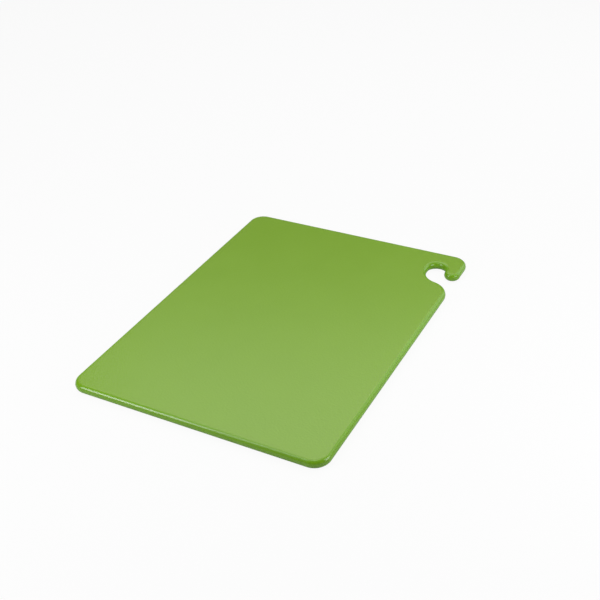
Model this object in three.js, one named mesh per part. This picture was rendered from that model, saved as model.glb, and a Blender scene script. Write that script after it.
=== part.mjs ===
// A plastic cutting board with a hanging hook, moulded in one piece.
// Millimetres. The board lies flat: X is its width, Y its length towards the hook end, Z is up.
// The origin is the middle of the underside.

import * as THREE from 'three';
import { mergeVertices } from 'three/addons/utils/BufferGeometryUtils.js';

// The slab
const boardWidth = 381.0;
const boardLength = 508.0;
const boardThickness = 12.7;
const cornerRadius = 23.0;

// The edge is two quarter rounds that meet at a narrow land, where the halves of the mould close
const partingLand = 0.7;

// The hook stands in the corner at +X +Y. Its finger hangs beside a round throat.
const hookLine = 45.7; // from the end of the board to the centres of the throat and of the finger's tip
const throatRadius = 13.4;
const tipRadius = 12.1;
const throatWall = 4.1; // straight stretch of the throat's inner side, below its round end

// Below the throat, two arcs that touch make the S that leads out to the long side
const heelRadius = 31.0; // hollow arc
const lipRadius = 33.0; // full arc, running out onto the long side

// Facets
const arcSteps = 10; // half of the chords in each arc of the outline
const edgeSteps = 6; // chords in each quarter round of the edge

const edgeRadius = (boardThickness - partingLand) / 2;
const halfWidth = boardWidth / 2;
const halfLength = boardLength / 2;
const quarter = Math.PI / 2;

// The centre of each arc of the hook
function hookCentres() {
  const lineY = halfLength - hookLine;
  const tip = new THREE.Vector2(halfWidth - tipRadius, lineY);
  const throat = new THREE.Vector2(tip.x - tipRadius - throatRadius, lineY);
  const wallX = throat.x - throatRadius;
  const heel = new THREE.Vector2(wallX + heelRadius, lineY - throatWall);
  const lipX = halfWidth - lipRadius;
  const drop = Math.sqrt((heelRadius + lipRadius) ** 2 - (heel.x - lipX) ** 2);
  const lip = new THREE.Vector2(lipX, heel.y - drop);
  return { tip, throat, heel, lip };
}

// The outline at the parting line, anticlockwise seen from above
function boardOutline() {
  const { tip, throat, heel, lip } = hookCentres();
  const cornerX = halfWidth - cornerRadius;
  const cornerY = halfLength - cornerRadius;
  const touch = heel.clone().sub(lip).angle(); // where the lip meets the heel

  const outline = new THREE.Shape();
  outline.moveTo(-cornerX, -halfLength);
  outline.lineTo(cornerX, -halfLength);
  outline.absarc(cornerX, -cornerY, cornerRadius, -quarter, 0, false);
  outline.lineTo(halfWidth, lip.y);
  outline.absarc(lip.x, lip.y, lipRadius, 0, touch, false);
  outline.absarc(heel.x, heel.y, heelRadius, touch + Math.PI, Math.PI, true);
  outline.lineTo(throat.x - throatRadius, throat.y);
  outline.absarc(throat.x, throat.y, throatRadius, Math.PI, 0, true);
  outline.absarc(tip.x, tip.y, tipRadius, Math.PI, 2 * Math.PI, false);
  outline.lineTo(halfWidth, cornerY);
  outline.absarc(cornerX, cornerY, cornerRadius, 0, quarter, false);
  outline.lineTo(-cornerX, halfLength);
  outline.absarc(-cornerX, cornerY, cornerRadius, quarter, Math.PI, false);
  outline.lineTo(-halfWidth, -cornerY);
  outline.absarc(-cornerX, -cornerY, cornerRadius, Math.PI, 3 * quarter, false);
  return outline;
}

// The slab with its round edge carried along every arc of the outline, hook and throat included
function boardSolid() {
  const slab = new THREE.ExtrudeGeometry(boardOutline(), {
    depth: partingLand,
    curveSegments: arcSteps,
    bevelEnabled: true,
    bevelThickness: edgeRadius,
    bevelSize: edgeRadius,
    bevelOffset: -edgeRadius,
    bevelSegments: edgeSteps,
  });
  slab.translate(0, 0, edgeRadius);
  slab.deleteAttribute('normal');
  slab.deleteAttribute('uv');
  const merged = mergeVertices(slab);
  merged.computeVertexNormals();
  return merged;
}

// Green copolymer, coloured right through, with a satin moulded face
const greenPlastic = new THREE.MeshStandardMaterial({
  name: 'green_plastic',
  color: 0x83a93e,
  roughness: 0.45,
  metalness: 0.0,
});

const board = new THREE.Mesh(boardSolid(), greenPlastic);
board.name = 'board';

const cuttingBoard = new THREE.Group();
cuttingBoard.name = 'cutting_board';
cuttingBoard.add(board);

export default cuttingBoard;
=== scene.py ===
"""A green plastic cutting board with a hanging hook, dressed and lit as for its studio picture.

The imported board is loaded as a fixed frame. A finely faceted moulding stands in for it, lying on white
paper under softboxes, seen by a camera at the picture's viewing angle.
"""

import logging
import math
from dataclasses import dataclass
from enum import Enum
from typing import Any

import bmesh
import bpy
from mathutils import Matrix, Vector


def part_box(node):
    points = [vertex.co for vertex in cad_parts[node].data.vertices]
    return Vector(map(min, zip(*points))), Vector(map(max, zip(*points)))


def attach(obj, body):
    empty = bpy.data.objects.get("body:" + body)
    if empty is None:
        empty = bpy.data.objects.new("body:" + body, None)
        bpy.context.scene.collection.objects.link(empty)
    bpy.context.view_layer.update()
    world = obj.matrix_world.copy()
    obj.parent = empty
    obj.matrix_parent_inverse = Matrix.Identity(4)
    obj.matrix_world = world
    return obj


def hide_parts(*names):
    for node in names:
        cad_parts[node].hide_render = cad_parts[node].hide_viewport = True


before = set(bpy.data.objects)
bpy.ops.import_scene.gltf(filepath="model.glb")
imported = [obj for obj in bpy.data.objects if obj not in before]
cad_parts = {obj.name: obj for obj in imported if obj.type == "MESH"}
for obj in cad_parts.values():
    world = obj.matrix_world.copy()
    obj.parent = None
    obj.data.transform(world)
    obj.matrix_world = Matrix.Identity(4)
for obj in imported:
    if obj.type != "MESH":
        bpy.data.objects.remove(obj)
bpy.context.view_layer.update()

MM = 0.001
BOARD_NODE = "board"
ROOT_BODY = "root"
UP = Vector((0.0, 0.0, 1.0))
QUARTER_TURN = math.pi / 2
HALF_TURN = math.pi
LEVEL = 1.0 - 1e-6  # a face counts as level when this much of its normal points up or down
LOG = logging.getLogger("cutting_board")

# The sRGB curve is a straight line up to its knee and a power curve from there on.
FULL_BYTE = 255.0
SRGB_KNEE = 0.04045
SRGB_SLOPE = 12.92
SRGB_OFFSET = 0.055
SRGB_POWER = 2.4


class Bend(Enum):
    """Which side of an arc the plastic lies on, going anticlockwise round the board."""

    ROUND = 1.0  # the plastic is inside the arc, as at a corner
    HOLLOW = -1.0  # the plastic is outside the arc, as in the hook's throat


def linear(hex_colour: str) -> tuple[float, float, float, float]:
    """Turns an sRGB hex colour into the linear colour that shaders take.

    Args:
        hex_colour: Six hex digits after a #.

    Returns:
        Red, green, blue and an alpha of 1.
    """
    channels: list[float] = []
    for byte in bytes.fromhex(hex_colour.removeprefix("#")):
        share = byte / FULL_BYTE
        if share <= SRGB_KNEE:
            channels.append(share / SRGB_SLOPE)
        else:
            channels.append(((share + SRGB_OFFSET) / (1.0 + SRGB_OFFSET)) ** SRGB_POWER)
    red, green, blue = channels
    return (red, green, blue, 1.0)


def add_node(
    tree: bpy.types.NodeTree,
    kind: str,
    settings: dict[str, Any] | None = None,
    inputs: dict[str | int, Any] | None = None,
) -> bpy.types.Node:
    """Adds a node to a tree, sets it and links it.

    Args:
        tree: The tree that gets the node.
        kind: Blender's name for the kind of node.
        settings: Values of the node's own properties.
        inputs: For each input, by name or place, a value or the socket that feeds it.

    Returns:
        The new node.
    """
    node = tree.nodes.new(kind)
    for name, value in (settings or {}).items():
        setattr(node, name, value)
    for name, value in (inputs or {}).items():
        if isinstance(value, bpy.types.NodeSocket):
            tree.links.new(value, node.inputs[name])
        else:
            node.inputs[name].default_value = value
    return node


def empty_material(name: str) -> tuple[bpy.types.Material, bpy.types.NodeTree]:
    """Makes a material with no nodes.

    Args:
        name: The material's name.

    Returns:
        The material and its node tree.
    """
    material = bpy.data.materials.new(name)
    material.use_nodes = True
    material.node_tree.nodes.clear()
    return material, material.node_tree


def mesh_object(name: str, mesh: bmesh.types.BMesh) -> bpy.types.Object:
    """Turns a bmesh into an object of the scene, at the origin.

    Args:
        name: The object's name.
        mesh: The bmesh, which is freed.

    Returns:
        The object.
    """
    data = bpy.data.meshes.new(name)
    mesh.to_mesh(data)
    mesh.free()
    piece = bpy.data.objects.new(name, data)
    bpy.context.scene.collection.objects.link(piece)
    return piece


@dataclass(frozen=True)
class MouldedPolyethylene:
    """High-density polyethylene, coloured right through and moulded between grained steel faces.

    The pigment sits under a waxy top layer, so the eye gets a deep yellow-green with a soft white sheen on
    top.
    The two cutting faces copy the mould's fine grain and look satin. The round edge comes off a smoother
    part of the mould and takes a narrower highlight. Its deeper green is painted shade.

    Attributes:
        name: The material's name.
        pale_hex: Colour of the faces where the melt's clouds are palest.
        deep_hex: Colour of the faces where the clouds are deepest.
        shaded_edge_hex: Colour of the round edge, a deeper green that is painted shade.
        ior: Refractive index.
        face_roughness: Roughness of the two faces.
        edge_roughness: Roughness of the round edge.
        grain_mm: Width of the mould's grain as drawn.
        grain_depth_mm: Depth of the grain as drawn.
        grain_detail: How many finer layers the grain has.
        grain_fade_mm: How far below the face the grain ends on the round edge.
        flow_mm: Size of the faint clouds that the flowing melt leaves.
        flow_detail: How many finer layers the clouds have.
        flow_roughness: How far the clouds raise or lower the roughness.
    """

    name: str = "polyethylene_hd_moulded_green"
    pale_hex: str = "#7DA725"
    deep_hex: str = "#79A321"
    # painted shade: the round edge is coloured a deeper green than the faces
    shaded_edge_hex: str = "#72A512"
    ior: float = 1.54
    face_roughness: float = 0.31
    edge_roughness: float = 0.25
    grain_mm: float = 3.2  # the real grain is a tenth as wide and deep, drawn coarser so that it shows
    grain_depth_mm: float = 0.18
    grain_detail: float = 1.0
    grain_fade_mm: float = 0.5
    flow_mm: float = 60.0
    flow_detail: float = 3.0
    flow_roughness: float = 0.02

    def material(self, thickness: float) -> bpy.types.Material:
        """Makes the material for a slab that lies on z = 0.

        Args:
            thickness: The slab's thickness in metres.

        Returns:
            The material.
        """
        material, tree = empty_material(self.name)
        place = add_node(tree, "ShaderNodeTexCoord").outputs["Object"]
        height = add_node(tree, "ShaderNodeSeparateXYZ", inputs={0: place}).outputs["Z"]
        half = thickness / 2
        from_middle = add_node(tree, "ShaderNodeMath", {"operation": "SUBTRACT"}, {0: height, 1: half})
        depth = add_node(tree, "ShaderNodeMath", {"operation": "ABSOLUTE"}, {0: from_middle.outputs[0]})
        on_face = add_node(
            tree,
            "ShaderNodeMapRange",
            {"interpolation_type": "SMOOTHSTEP"},
            {"Value": depth.outputs[0], "From Min": half - self.grain_fade_mm * MM, "From Max": half},
        ).outputs["Result"]
        flow = add_node(
            tree,
            "ShaderNodeTexNoise",
            inputs={"Vector": place, "Scale": 1.0 / (self.flow_mm * MM), "Detail": self.flow_detail},
        ).outputs["Fac"]
        colour = add_node(
            tree,
            "ShaderNodeMix",
            {"data_type": "RGBA"},
            {"Factor": flow, "A": linear(self.deep_hex), "B": linear(self.pale_hex)},
        ).outputs["Result"]
        # painted shade: the round edge takes the deeper green in place of the faces' colour
        colour_and_edge_shade = add_node(
            tree,
            "ShaderNodeMix",
            {"data_type": "RGBA"},
            {"Factor": on_face, "A": linear(self.shaded_edge_hex), "B": colour},
        )
        satin = add_node(
            tree,
            "ShaderNodeMapRange",
            inputs={"Value": on_face, "To Min": self.edge_roughness, "To Max": self.face_roughness},
        ).outputs["Result"]
        clouds = add_node(
            tree,
            "ShaderNodeMapRange",
            inputs={"Value": flow, "To Min": -self.flow_roughness, "To Max": self.flow_roughness},
        ).outputs["Result"]
        roughness = add_node(tree, "ShaderNodeMath", {"operation": "ADD"}, {0: satin, 1: clouds})
        grain = add_node(
            tree,
            "ShaderNodeTexNoise",
            inputs={"Vector": place, "Scale": 1.0 / (self.grain_mm * MM), "Detail": self.grain_detail},
        ).outputs["Fac"]
        relief = add_node(
            tree,
            "ShaderNodeBump",
            inputs={"Strength": on_face, "Distance": self.grain_depth_mm * MM, "Height": grain},
        )
        plastic = add_node(
            tree,
            "ShaderNodeBsdfPrincipled",
            inputs={
                "Base Color": colour_and_edge_shade.outputs["Result"],
                "Roughness": roughness.outputs[0],
                "IOR": self.ior,
                "Normal": relief.outputs["Normal"],
            },
        )
        add_node(tree, "ShaderNodeOutputMaterial", inputs={"Surface": plastic.outputs["BSDF"]})
        return material


@dataclass(frozen=True)
class MattPaper:
    """Matt white paper for the floor, which shows as plain white with the board's shadow left on it.

    The camera sees mostly the paper's own white, and mirrored rays see part of it. The light that the
    paper throws back onto the board is that of lit paper, so the white adds none.

    Attributes:
        name: The material's name.
        paper_hex: Colour of the lit paper.
        white_hex: Colour of the paper's own white.
        own_white: Share of its own white in what the camera sees.
        mirrored_white: The same share in what the board mirrors, kept low so that the underside of the
            board's round edge stays deep green.
    """

    name: str = "paper_matt_white"
    paper_hex: str = "#D8D8D8"
    white_hex: str = "#FFFFFF"
    own_white: float = 0.93
    mirrored_white: float = 0.25

    def material(self) -> bpy.types.Material:
        """Makes the paper's material.

        Returns:
            The material.
        """
        material, tree = empty_material(self.name)
        path = add_node(tree, "ShaderNodeLightPath").outputs
        in_camera = add_node(
            tree,
            "ShaderNodeMath",
            {"operation": "MULTIPLY"},
            {0: path["Is Camera Ray"], 1: self.own_white},
        )
        mirrored = add_node(
            tree,
            "ShaderNodeMath",
            {"operation": "MAXIMUM"},
            {0: path["Is Glossy Ray"], 1: path["Is Transmission Ray"]},
        )
        share = add_node(
            tree,
            "ShaderNodeMath",
            {"operation": "MULTIPLY_ADD"},
            {0: mirrored.outputs[0], 1: self.mirrored_white, 2: in_camera.outputs[0]},
        )
        paper = add_node(tree, "ShaderNodeBsdfDiffuse", inputs={"Color": linear(self.paper_hex)})
        white = add_node(tree, "ShaderNodeEmission", inputs={"Color": linear(self.white_hex)})
        both = add_node(
            tree,
            "ShaderNodeMixShader",
            inputs={0: share.outputs[0], 1: paper.outputs["BSDF"], 2: white.outputs["Emission"]},
        )
        add_node(tree, "ShaderNodeOutputMaterial", inputs={"Surface": both.outputs["Shader"]})
        return material


@dataclass
class OutlinePen:
    """Draws an outline on z = 0, edge after edge, as a pen would.

    Attributes:
        mesh: The bmesh that is drawn in.
        chord: The longest straight step along an arc, in metres.
        nib: The vertex that was drawn last.
    """

    mesh: bmesh.types.BMesh
    chord: float
    nib: bmesh.types.BMVert

    @classmethod
    def at(cls, mesh: bmesh.types.BMesh, chord: float, place: Vector) -> "OutlinePen":
        """Sets the pen down at a place."""
        return cls(mesh, chord, mesh.verts.new(place))

    def line_to(self, place: Vector) -> None:
        """Draws a straight edge from where the pen is.

        Args:
            place: Where the edge ends.
        """
        drawn = bmesh.ops.extrude_vert_indiv(self.mesh, verts=[self.nib])
        self.nib = drawn["verts"][0]
        self.nib.co = place

    def arc(self, centre: Vector, angle: float, bend: Bend) -> None:
        """Draws an arc from where the pen is.

        Args:
            centre: The arc's centre.
            angle: How far the arc goes round, in radians.
            bend: Which side of it the plastic lies on.
        """
        radius = (self.nib.co - centre).length
        drawn = bmesh.ops.spin(
            self.mesh,
            geom=[self.nib],
            cent=centre,
            axis=UP,
            angle=angle * bend.value,
            steps=math.ceil(radius * angle / self.chord),
            use_duplicate=False,
        )
        self.nib = next(item for item in drawn["geom_last"] if isinstance(item, bmesh.types.BMVert))


@dataclass
class HookedBoard:
    """The board, moulded in one piece: a slab with a full-round edge and a hook in one corner.

    An S-shaped cut leaves the hook. Lengths are in metres. The outline's sizes are those at the parting
    line, where the board is widest.

    Attributes:
        width: Along X.
        length: Along Y, towards the hook's end.
        thickness: Along Z, up from the floor.
        corner_radius: Round of the four corners.
        parting_land: Height of the narrow flat where the mould's halves met.
        flash_height: How far the trimmed parting line stands proud of the round edge.
        flash_slope: Width of the parting line's slope on either side.
        hook_line: From the end of the board to the centres of the throat and of the finger's tip.
        throat_radius: Round end of the throat.
        tip_radius: Round tip of the hook's finger.
        throat_wall: Straight stretch of the throat's inner side.
        heel_radius: Hollow arc below the throat.
        lip_radius: Full arc that runs out onto the long side.
        chord: The longest straight step along an arc of the outline.
        edge_segments: Steps in each quarter of the round edge.
        face_border: Width of the ring that keeps the flat faces' shading flat.
        weld: How near the outline's ends come to count as one point.
    """

    width: float
    length: float
    thickness: float
    corner_radius: float = 23.0 * MM
    parting_land: float = 0.7 * MM
    flash_height: float = 0.08 * MM
    flash_slope: float = 0.15 * MM
    hook_line: float = 45.7 * MM
    throat_radius: float = 13.4 * MM
    tip_radius: float = 12.1 * MM
    throat_wall: float = 4.1 * MM
    heel_radius: float = 31.0 * MM
    lip_radius: float = 33.0 * MM
    chord: float = 0.9 * MM
    edge_segments: int = 16
    face_border: float = 2.0 * MM
    weld: float = 0.02 * MM

    @classmethod
    def from_frame(cls) -> "HookedBoard":
        """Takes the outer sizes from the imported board.

        Returns:
            A board of those sizes.
        """
        low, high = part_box(BOARD_NODE)
        size = high - low
        return cls(size.x, size.y, size.z)

    def draw_outline(self, mesh: bmesh.types.BMesh, inset: float) -> None:
        """Draws the closed outline, taken in all round.

        Args:
            mesh: The bmesh to draw in.
            inset: How far it is taken in.
        """
        half_width, half_length = self.width / 2, self.length / 2
        side, end = half_width - inset, half_length - inset
        corner_x, corner_y = half_width - self.corner_radius, half_length - self.corner_radius
        line_y = half_length - self.hook_line
        tip = Vector((half_width - self.tip_radius, line_y, 0.0))
        throat = Vector((tip.x - self.tip_radius - self.throat_radius, line_y, 0.0))
        wall_x = throat.x - self.throat_radius
        heel = Vector((wall_x + self.heel_radius, line_y - self.throat_wall, 0.0))
        lip_x = half_width - self.lip_radius
        # The heel and the lip touch, so their centres lie both radii apart.
        drop = math.sqrt((self.heel_radius + self.lip_radius) ** 2 - (heel.x - lip_x) ** 2)
        lip = Vector((lip_x, heel.y - drop, 0.0))
        touch = math.atan2(drop, heel.x - lip.x)

        pen = OutlinePen.at(mesh, self.chord, Vector((-corner_x, -end, 0.0)))
        pen.line_to(Vector((corner_x, -end, 0.0)))
        pen.arc(Vector((corner_x, -corner_y, 0.0)), QUARTER_TURN, Bend.ROUND)
        pen.line_to(Vector((side, lip.y, 0.0)))
        pen.arc(lip, touch, Bend.ROUND)
        pen.arc(heel, touch, Bend.HOLLOW)
        pen.line_to(Vector((wall_x - inset, line_y, 0.0)))
        pen.arc(throat, HALF_TURN, Bend.HOLLOW)
        pen.arc(tip, HALF_TURN, Bend.ROUND)
        pen.line_to(Vector((side, corner_y, 0.0)))
        pen.arc(Vector((corner_x, corner_y, 0.0)), QUARTER_TURN, Bend.ROUND)
        pen.line_to(Vector((-corner_x, end, 0.0)))
        pen.arc(Vector((-corner_x, corner_y, 0.0)), QUARTER_TURN, Bend.ROUND)
        pen.line_to(Vector((-side, -corner_y, 0.0)))
        pen.arc(Vector((-corner_x, -corner_y, 0.0)), QUARTER_TURN, Bend.ROUND)
        bmesh.ops.remove_doubles(mesh, verts=mesh.verts[:], dist=self.weld)

    @staticmethod
    def flat_faces(mesh: bmesh.types.BMesh) -> list[bmesh.types.BMFace]:
        """Picks out the flat top and bottom of the slab."""
        return [face for face in mesh.faces if abs(face.normal.z) > LEVEL]

    def build(self) -> bpy.types.Object:
        """Models the moulding.

        Returns:
            The board's object.
        """
        mesh = bmesh.new()
        self.draw_outline(mesh, self.flash_height)
        bmesh.ops.contextual_create(mesh, geom=mesh.edges[:])
        raised = bmesh.ops.extrude_face_region(mesh, geom=mesh.faces[:])
        top = [item for item in raised["geom"] if isinstance(item, bmesh.types.BMVert)]
        bmesh.ops.translate(mesh, verts=top, vec=UP * self.thickness)
        bmesh.ops.recalc_face_normals(mesh, faces=mesh.faces[:])

        rim = [edge for face in self.flat_faces(mesh) for edge in face.edges]
        bmesh.ops.bevel(
            mesh,
            geom=rim,
            offset=(self.thickness - self.parting_land) / 2,
            segments=self.edge_segments,
            profile=0.5,
            affect="EDGES",
            material=-1,
        )
        middle, reach = self.thickness / 2, self.parting_land / 2
        land = [face for face in mesh.faces if abs(face.calc_center_median().z - middle) < reach]
        bmesh.ops.inset_region(mesh, faces=land, thickness=self.flash_slope, depth=self.flash_height)
        bmesh.ops.inset_region(mesh, faces=self.flat_faces(mesh), thickness=self.face_border)
        for face in mesh.faces:
            face.smooth = True
        return mesh_object("moulded_board", mesh)

    def dress(self, piece: bpy.types.Object, finish: MouldedPolyethylene) -> None:
        """Gives the board its finish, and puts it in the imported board's place.

        Args:
            piece: The board's object.
            finish: The plastic that it is moulded from.
        """
        piece.data.materials.append(finish.material(self.thickness))
        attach(piece, ROOT_BODY)
        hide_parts(BOARD_NODE)


@dataclass(frozen=True)
class Softbox:
    """A rectangular lamp behind white cloth, facing the middle of the board.

    Attributes:
        name: Where the lamp stands.
        bearing: Direction that it stands in, in degrees anticlockwise from the board's right-hand side.
        height: How high it stands above the floor as seen from the board, in degrees.
        distance: From the middle of the board, in metres.
        size: Its width and height, in metres.
        watts: Its power.
    """

    name: str
    bearing: float
    height: float
    distance: float
    size: tuple[float, float]
    watts: float

    def build(self) -> None:
        """Hangs the lamp."""
        lamp = bpy.data.lights.new(self.name, "AREA")
        lamp.shape = "RECTANGLE"
        lamp.size, lamp.size_y = self.size
        lamp.energy = self.watts
        turn = Matrix.Rotation(math.radians(self.bearing), 4, "Z")
        lift = Matrix.Rotation(math.radians(-self.height), 4, "Y")
        place = turn @ lift @ Vector((self.distance, 0.0, 0.0))
        facing = (-place).to_track_quat("-Z", "Y").to_matrix().to_4x4()
        holder = bpy.data.objects.new(self.name, lamp)
        holder.matrix_world = Matrix.Translation(place) @ facing
        holder.visible_camera = False
        bpy.context.scene.collection.objects.link(holder)


@dataclass
class Studio:
    """The room that the board lies in: a round paper floor with a paper wall, softboxes and dim light.

    Lengths are in metres.

    Attributes:
        sweep_radius: Radius of the paper floor.
        wall_height: Height of the paper wall that stands round it.
        wall_segments: Steps round the floor.
        floor_gap: How far the floor lies below the board.
        room_hex: Colour of the dim room above the wall.
    """

    sweep_radius: float = 6.0
    wall_height: float = 1.6
    wall_segments: int = 96
    floor_gap: float = 0.05 * MM
    room_hex: str = "#606060"

    @staticmethod
    def softboxes() -> list[Softbox]:
        """Lists the lamps.

        Returns:
            The lamps, each with its bearing, height, distance, size and watts in that order.
        """
        return [
            Softbox("left_low_softbox", 232.5, 27.5, 1.23, (0.36, 0.42), 4.7),
            Softbox("left_high_softbox", 236.0, 52.0, 1.3, (0.3, 0.7), 2.5),
            Softbox("overhead_softbox", 109.0, 69.0, 1.9, (2.2, 2.4), 15.2),
            Softbox("right_softbox", 0.0, 24.0, 0.85, (0.4, 0.4), 2.4),
            Softbox("back_right_softbox", 55.0, 27.0, 1.5, (1.0, 1.1), 4.9),
            Softbox("front_high_softbox", 294.0, 75.0, 0.88, (0.2, 0.2), 0.5),
            Softbox("back_softbox", 119.0, 54.0, 1.7, (1.6, 0.9), 4.5),
        ]

    def build_sweep(self) -> None:
        """Models the paper floor and its wall, and gives them their finish."""
        mesh = bmesh.new()
        bmesh.ops.create_circle(mesh, cap_ends=True, radius=self.sweep_radius, segments=self.wall_segments)
        bmesh.ops.translate(mesh, verts=mesh.verts[:], vec=-UP * self.floor_gap)
        rim = [edge for edge in mesh.edges if edge.is_boundary]
        raised = bmesh.ops.extrude_edge_only(mesh, edges=rim)
        top = [item for item in raised["geom"] if isinstance(item, bmesh.types.BMVert)]
        bmesh.ops.translate(mesh, verts=top, vec=UP * self.wall_height)
        sweep = mesh_object("paper_sweep", mesh)
        sweep.data.materials.append(MattPaper().material())

    def light_room(self) -> None:
        """Gives the room above the wall its dim even light."""
        world = bpy.data.worlds.new("dim_room")
        world.use_nodes = True
        world.node_tree.nodes.clear()
        room = add_node(world.node_tree, "ShaderNodeBackground", inputs={"Color": linear(self.room_hex)})
        add_node(world.node_tree, "ShaderNodeOutputWorld", inputs={"Surface": room.outputs[0]})
        bpy.context.scene.world = world

    def build(self) -> None:
        """Sets up the floor, the room and the lamps."""
        self.build_sweep()
        self.light_room()
        for softbox in self.softboxes():
            softbox.build()
            LOG.info("lamp %s", softbox.name)


@dataclass(frozen=True)
class PictureCamera:
    """The camera at the picture's viewing angle, worked out from the board's outline in it.

    Attributes:
        place: Where the lens is, in metres.
        heading: How far it is turned to the left of the board's length, in degrees.
        dip: How far it looks down, in degrees.
        roll: How far it leans clockwise, in degrees.
        lens_mm: Focal length.
        sensor_mm: Width of the sensor.
    """

    place: tuple[float, float, float] = (0.5903, -0.9859, 0.8049)
    heading: float = 29.69
    dip: float = 33.69
    roll: float = 3.44
    lens_mm: float = 58.15
    sensor_mm: float = 36.0

    def build(self) -> None:
        """Sets the camera up as the scene's own."""
        camera = bpy.data.cameras.new("picture_camera")
        camera.lens = self.lens_mm
        camera.sensor_width = self.sensor_mm
        holder = bpy.data.objects.new(camera.name, camera)
        turn = Matrix.Rotation(math.radians(self.heading), 4, "Z")
        tilt = Matrix.Rotation(QUARTER_TURN - math.radians(self.dip), 4, "X")
        lean = Matrix.Rotation(math.radians(-self.roll), 4, "Z")
        holder.matrix_world = Matrix.Translation(self.place) @ turn @ tilt @ lean
        bpy.context.scene.collection.objects.link(holder)
        bpy.context.scene.camera = holder


def main() -> None:
    """Builds the board, the studio and the camera, in that order."""
    logging.basicConfig(level=logging.INFO, format="%(name)s: %(message)s")
    bpy.context.scene.view_settings.view_transform = "Standard"
    board = HookedBoard.from_frame()
    piece = board.build()
    board.dress(piece, MouldedPolyethylene())
    LOG.info("piece %s, %d faces", piece.name, len(piece.data.polygons))
    Studio().build()
    PictureCamera().build()


if __name__ == "__main__":
    main()
